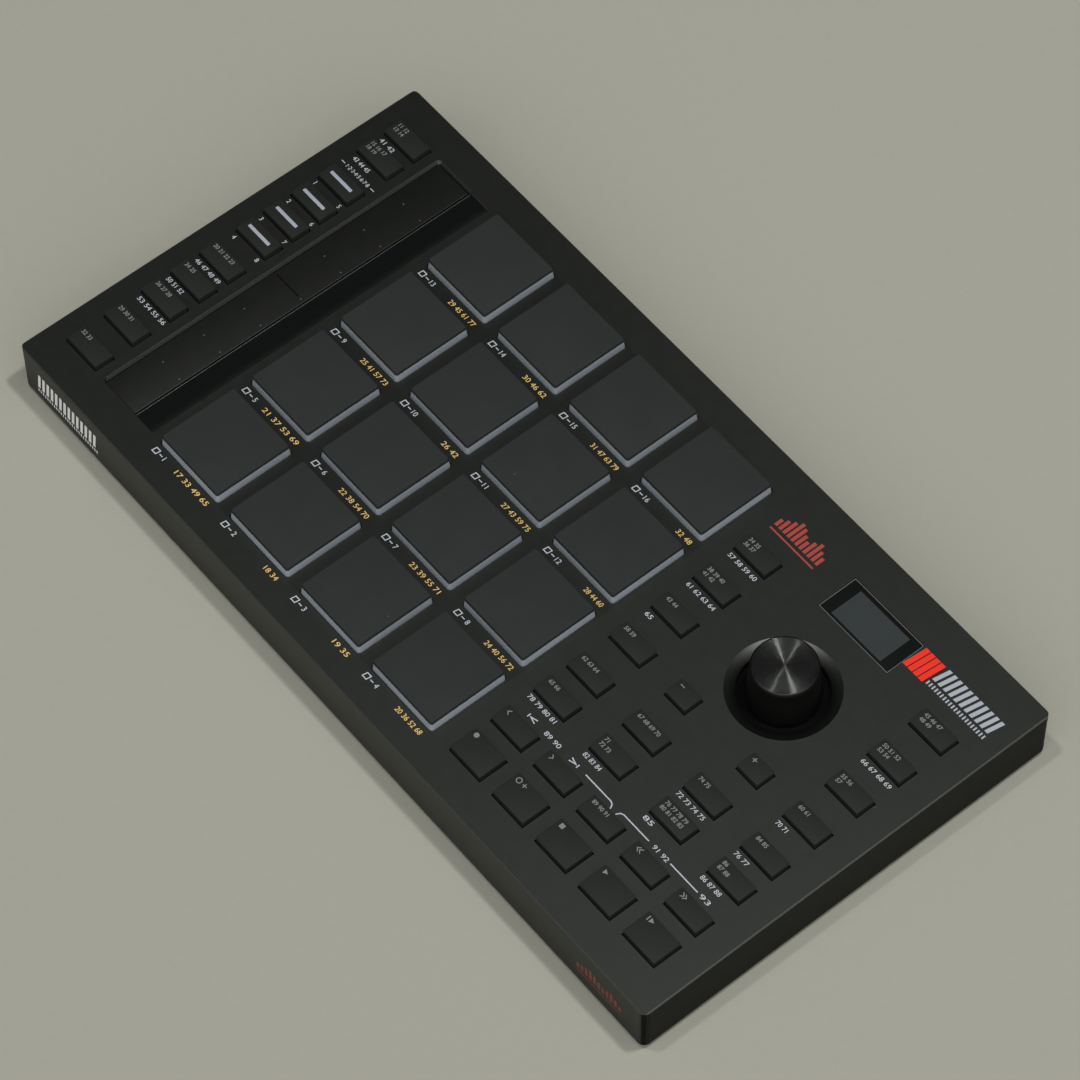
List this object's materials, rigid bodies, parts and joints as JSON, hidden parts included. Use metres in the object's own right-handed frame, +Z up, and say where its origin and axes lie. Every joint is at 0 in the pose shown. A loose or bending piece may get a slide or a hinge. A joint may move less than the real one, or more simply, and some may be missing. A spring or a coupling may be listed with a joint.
{
  "type": "pad controller",
  "caption": "Flat desktop pad controller for drum patterns, with square pads, push keys, a touch strip, a small display and a push dial.",
  "frame": {"origin": "bottom centre of the case, on the surface that the feet stand on", "axes": "+X along the width to the right of the player, +Y to the back, +Z up"},
  "size_m": [0.328, 0.1706, 0.0374],
  "materials": {
    "case_black": "fine satin texture",
    "base_black": "satin",
    "foot_rubber": "matte",
    "screw_steel": "blackened",
    "board_green": "solder mask",
    "silicone_grey": "matte",
    "sensor_film": "film",
    "display_glass": "gloss",
    "window_black": "gloss",
    "strip_grey": "satin",
    "encoder_zinc": "cast",
    "socket_steel": "plated",
    "jack_black": "satin",
    "plunger_nylon": "natural nylon",
    "shaft_aluminium": "turned",
    "dial_rubber": "ribbed, matte",
    "spun_aluminium": "spun",
    "pad_silicone": "matte silicone over a translucent skirt",
    "key_grey": "satin"
  },
  "bodies": {
    "case": {"top_case": "case_black", "bottom_case": "base_black", "rubber_feet": "foot_rubber", "screws": "screw_steel", "key_board": "board_green", "io_board": "board_green", "key_mats": "silicone_grey", "pad_sensor_sheet": "sensor_film", "display_module": "display_glass", "display_window": "window_black", "touch_strip": "strip_grey", "encoder_body": "encoder_zinc", "usb_socket": "socket_steel", "midi_jacks": "jack_black"},
    "dial_plunger": {"encoder_plunger": "plunger_nylon"},
    "dial": {"encoder_shaft": "shaft_aluminium", "jog_dial": "dial_rubber", "dial_cap": "spun_aluminium"},
    "pad_1": {"pad_1": "pad_silicone"},
    "pad_2": {"pad_2": "pad_silicone"},
    "pad_3": {"pad_3": "pad_silicone"},
    "pad_4": {"pad_4": "pad_silicone"},
    "pad_5": {"pad_5": "pad_silicone"},
    "pad_6": {"pad_6": "pad_silicone"},
    "pad_7": {"pad_7": "pad_silicone"},
    "pad_8": {"pad_8": "pad_silicone"},
    "pad_9": {"pad_9": "pad_silicone"},
    "pad_10": {"pad_10": "pad_silicone"},
    "pad_11": {"pad_11": "pad_silicone"},
    "pad_12": {"pad_12": "pad_silicone"},
    "pad_13": {"pad_13": "pad_silicone"},
    "pad_14": {"pad_14": "pad_silicone"},
    "pad_15": {"pad_15": "pad_silicone"},
    "pad_16": {"pad_16": "pad_silicone"},
    "note_repeat_key": {"note_repeat_key": "key_grey"},
    "strip_mode_key": {"strip_mode_key": "key_grey"},
    "bank_keys": {"bank_keys": "key_grey"},
    "full_level_key": {"full_level_key": "key_grey"},
    "copy_key": {"copy_key": "key_grey"},
    "pad_mute_key": {"pad_mute_key": "key_grey"},
    "sixteen_level_key": {"sixteen_level_key": "key_grey"},
    "erase_key": {"erase_key": "key_grey"},
    "select_keys": {"select_keys": "key_grey"},
    "sample_keys": {"sample_keys": "key_grey"},
    "shift_key": {"shift_key": "key_grey"},
    "step_keys": {"step_keys": "key_grey"},
    "tune_key": {"tune_key": "key_grey"},
    "screen_keys": {"screen_keys": "key_grey"},
    "timing_keys": {"timing_keys": "key_grey"},
    "view_keys": {"view_keys": "key_grey"},
    "undo_key": {"undo_key": "key_grey"},
    "tap_key": {"tap_key": "key_grey"},
    "event_keys": {"event_keys": "key_grey"},
    "locate_key": {"locate_key": "key_grey"},
    "seek_keys": {"seek_keys": "key_grey"},
    "record_key": {"record_key": "key_grey"},
    "overdub_key": {"overdub_key": "key_grey"},
    "stop_key": {"stop_key": "key_grey"},
    "play_key": {"play_key": "key_grey"},
    "play_start_key": {"play_start_key": "key_grey"}
  },
  "joints": [
    {"name": "dial_press", "type": "slide", "parent": "case", "child": "dial_plunger", "axis": [0, 0, 1], "range_m": [-0.0006, 0], "stiffness_N_per_m": 2000, "springref_m": 0.0006},
    {"name": "dial_turn", "type": "hinge", "parent": "dial_plunger", "child": "dial", "pos_m": [0.1019, 0.0253, 0.03], "axis": [0, 0, 1], "continuous": true},
    {"name": "pad_1_press", "type": "slide", "parent": "case", "child": "pad_1", "axis": [0, 0, 1], "range_m": [-0.0008, 0], "stiffness_N_per_m": 2500, "springref_m": 0.0004},
    {"name": "pad_2_press", "type": "slide", "parent": "case", "child": "pad_2", "axis": [0, 0, 1], "range_m": [-0.0008, 0], "stiffness_N_per_m": 2500, "springref_m": 0.0004},
    {"name": "pad_3_press", "type": "slide", "parent": "case", "child": "pad_3", "axis": [0, 0, 1], "range_m": [-0.0008, 0], "stiffness_N_per_m": 2500, "springref_m": 0.0004},
    {"name": "pad_4_press", "type": "slide", "parent": "case", "child": "pad_4", "axis": [0, 0, 1], "range_m": [-0.0008, 0], "stiffness_N_per_m": 2500, "springref_m": 0.0004},
    {"name": "pad_5_press", "type": "slide", "parent": "case", "child": "pad_5", "axis": [0, 0, 1], "range_m": [-0.0008, 0], "stiffness_N_per_m": 2500, "springref_m": 0.0004},
    {"name": "pad_6_press", "type": "slide", "parent": "case", "child": "pad_6", "axis": [0, 0, 1], "range_m": [-0.0008, 0], "stiffness_N_per_m": 2500, "springref_m": 0.0004},
    {"name": "pad_7_press", "type": "slide", "parent": "case", "child": "pad_7", "axis": [0, 0, 1], "range_m": [-0.0008, 0], "stiffness_N_per_m": 2500, "springref_m": 0.0004},
    {"name": "pad_8_press", "type": "slide", "parent": "case", "child": "pad_8", "axis": [0, 0, 1], "range_m": [-0.0008, 0], "stiffness_N_per_m": 2500, "springref_m": 0.0004},
    {"name": "pad_9_press", "type": "slide", "parent": "case", "child": "pad_9", "axis": [0, 0, 1], "range_m": [-0.0008, 0], "stiffness_N_per_m": 2500, "springref_m": 0.0004},
    {"name": "pad_10_press", "type": "slide", "parent": "case", "child": "pad_10", "axis": [0, 0, 1], "range_m": [-0.0008, 0], "stiffness_N_per_m": 2500, "springref_m": 0.0004},
    {"name": "pad_11_press", "type": "slide", "parent": "case", "child": "pad_11", "axis": [0, 0, 1], "range_m": [-0.0008, 0], "stiffness_N_per_m": 2500, "springref_m": 0.0004},
    {"name": "pad_12_press", "type": "slide", "parent": "case", "child": "pad_12", "axis": [0, 0, 1], "range_m": [-0.0008, 0], "stiffness_N_per_m": 2500, "springref_m": 0.0004},
    {"name": "pad_13_press", "type": "slide", "parent": "case", "child": "pad_13", "axis": [0, 0, 1], "range_m": [-0.0008, 0], "stiffness_N_per_m": 2500, "springref_m": 0.0004},
    {"name": "pad_14_press", "type": "slide", "parent": "case", "child": "pad_14", "axis": [0, 0, 1], "range_m": [-0.0008, 0], "stiffness_N_per_m": 2500, "springref_m": 0.0004},
    {"name": "pad_15_press", "type": "slide", "parent": "case", "child": "pad_15", "axis": [0, 0, 1], "range_m": [-0.0008, 0], "stiffness_N_per_m": 2500, "springref_m": 0.0004},
    {"name": "pad_16_press", "type": "slide", "parent": "case", "child": "pad_16", "axis": [0, 0, 1], "range_m": [-0.0008, 0], "stiffness_N_per_m": 2500, "springref_m": 0.0004},
    {"name": "note_repeat_press", "type": "slide", "parent": "case", "child": "note_repeat_key", "axis": [0, 0, 1], "range_m": [-0.0012, 0], "stiffness_N_per_m": 500, "springref_m": 0.0005},
    {"name": "strip_mode_press", "type": "slide", "parent": "case", "child": "strip_mode_key", "axis": [0, 0, 1], "range_m": [-0.0012, 0], "stiffness_N_per_m": 500, "springref_m": 0.0005},
    {"name": "bank_press", "type": "slide", "parent": "case", "child": "bank_keys", "axis": [0, 0, 1], "range_m": [-0.0012, 0], "stiffness_N_per_m": 500, "springref_m": 0.0005},
    {"name": "full_level_press", "type": "slide", "parent": "case", "child": "full_level_key", "axis": [0, 0, 1], "range_m": [-0.0012, 0], "stiffness_N_per_m": 500, "springref_m": 0.0005},
    {"name": "copy_press", "type": "slide", "parent": "case", "child": "copy_key", "axis": [0, 0, 1], "range_m": [-0.0012, 0], "stiffness_N_per_m": 500, "springref_m": 0.0005},
    {"name": "pad_mute_press", "type": "slide", "parent": "case", "child": "pad_mute_key", "axis": [0, 0, 1], "range_m": [-0.0012, 0], "stiffness_N_per_m": 500, "springref_m": 0.0005},
    {"name": "sixteen_level_press", "type": "slide", "parent": "case", "child": "sixteen_level_key", "axis": [0, 0, 1], "range_m": [-0.0012, 0], "stiffness_N_per_m": 500, "springref_m": 0.0005},
    {"name": "erase_press", "type": "slide", "parent": "case", "child": "erase_key", "axis": [0, 0, 1], "range_m": [-0.0012, 0], "stiffness_N_per_m": 500, "springref_m": 0.0005},
    {"name": "select_press", "type": "slide", "parent": "case", "child": "select_keys", "axis": [0, 0, 1], "range_m": [-0.0012, 0], "stiffness_N_per_m": 500, "springref_m": 0.0005},
    {"name": "sample_press", "type": "slide", "parent": "case", "child": "sample_keys", "axis": [0, 0, 1], "range_m": [-0.0012, 0], "stiffness_N_per_m": 500, "springref_m": 0.0005},
    {"name": "shift_press", "type": "slide", "parent": "case", "child": "shift_key", "axis": [0, 0, 1], "range_m": [-0.0012, 0], "stiffness_N_per_m": 500, "springref_m": 0.0005},
    {"name": "step_press", "type": "slide", "parent": "case", "child": "step_keys", "axis": [0, 0, 1], "range_m": [-0.0012, 0], "stiffness_N_per_m": 500, "springref_m": 0.0005},
    {"name": "tune_press", "type": "slide", "parent": "case", "child": "tune_key", "axis": [0, 0, 1], "range_m": [-0.0012, 0], "stiffness_N_per_m": 500, "springref_m": 0.0005},
    {"name": "screen_press", "type": "slide", "parent": "case", "child": "screen_keys", "axis": [0, 0, 1], "range_m": [-0.0012, 0], "stiffness_N_per_m": 500, "springref_m": 0.0005},
    {"name": "timing_press", "type": "slide", "parent": "case", "child": "timing_keys", "axis": [0, 0, 1], "range_m": [-0.0012, 0], "stiffness_N_per_m": 500, "springref_m": 0.0005},
    {"name": "view_press", "type": "slide", "parent": "case", "child": "view_keys", "axis": [0, 0, 1], "range_m": [-0.0012, 0], "stiffness_N_per_m": 500, "springref_m": 0.0005},
    {"name": "undo_press", "type": "slide", "parent": "case", "child": "undo_key", "axis": [0, 0, 1], "range_m": [-0.0012, 0], "stiffness_N_per_m": 500, "springref_m": 0.0005},
    {"name": "tap_press", "type": "slide", "parent": "case", "child": "tap_key", "axis": [0, 0, 1], "range_m": [-0.0012, 0], "stiffness_N_per_m": 500, "springref_m": 0.0005},
    {"name": "event_press", "type": "slide", "parent": "case", "child": "event_keys", "axis": [0, 0, 1], "range_m": [-0.0012, 0], "stiffness_N_per_m": 500, "springref_m": 0.0005},
    {"name": "locate_press", "type": "slide", "parent": "case", "child": "locate_key", "axis": [0, 0, 1], "range_m": [-0.0012, 0], "stiffness_N_per_m": 500, "springref_m": 0.0005},
    {"name": "seek_press", "type": "slide", "parent": "case", "child": "seek_keys", "axis": [0, 0, 1], "range_m": [-0.0012, 0], "stiffness_N_per_m": 500, "springref_m": 0.0005},
    {"name": "record_press", "type": "slide", "parent": "case", "child": "record_key", "axis": [0, 0, 1], "range_m": [-0.0012, 0], "stiffness_N_per_m": 500, "springref_m": 0.0005},
    {"name": "overdub_press", "type": "slide", "parent": "case", "child": "overdub_key", "axis": [0, 0, 1], "range_m": [-0.0012, 0], "stiffness_N_per_m": 500, "springref_m": 0.0005},
    {"name": "stop_press", "type": "slide", "parent": "case", "child": "stop_key", "axis": [0, 0, 1], "range_m": [-0.0012, 0], "stiffness_N_per_m": 500, "springref_m": 0.0005},
    {"name": "play_press", "type": "slide", "parent": "case", "child": "play_key", "axis": [0, 0, 1], "range_m": [-0.0012, 0], "stiffness_N_per_m": 500, "springref_m": 0.0005},
    {"name": "play_start_press", "type": "slide", "parent": "case", "child": "play_start_key", "axis": [0, 0, 1], "range_m": [-0.0012, 0], "stiffness_N_per_m": 500, "springref_m": 0.0005}
  ]
}
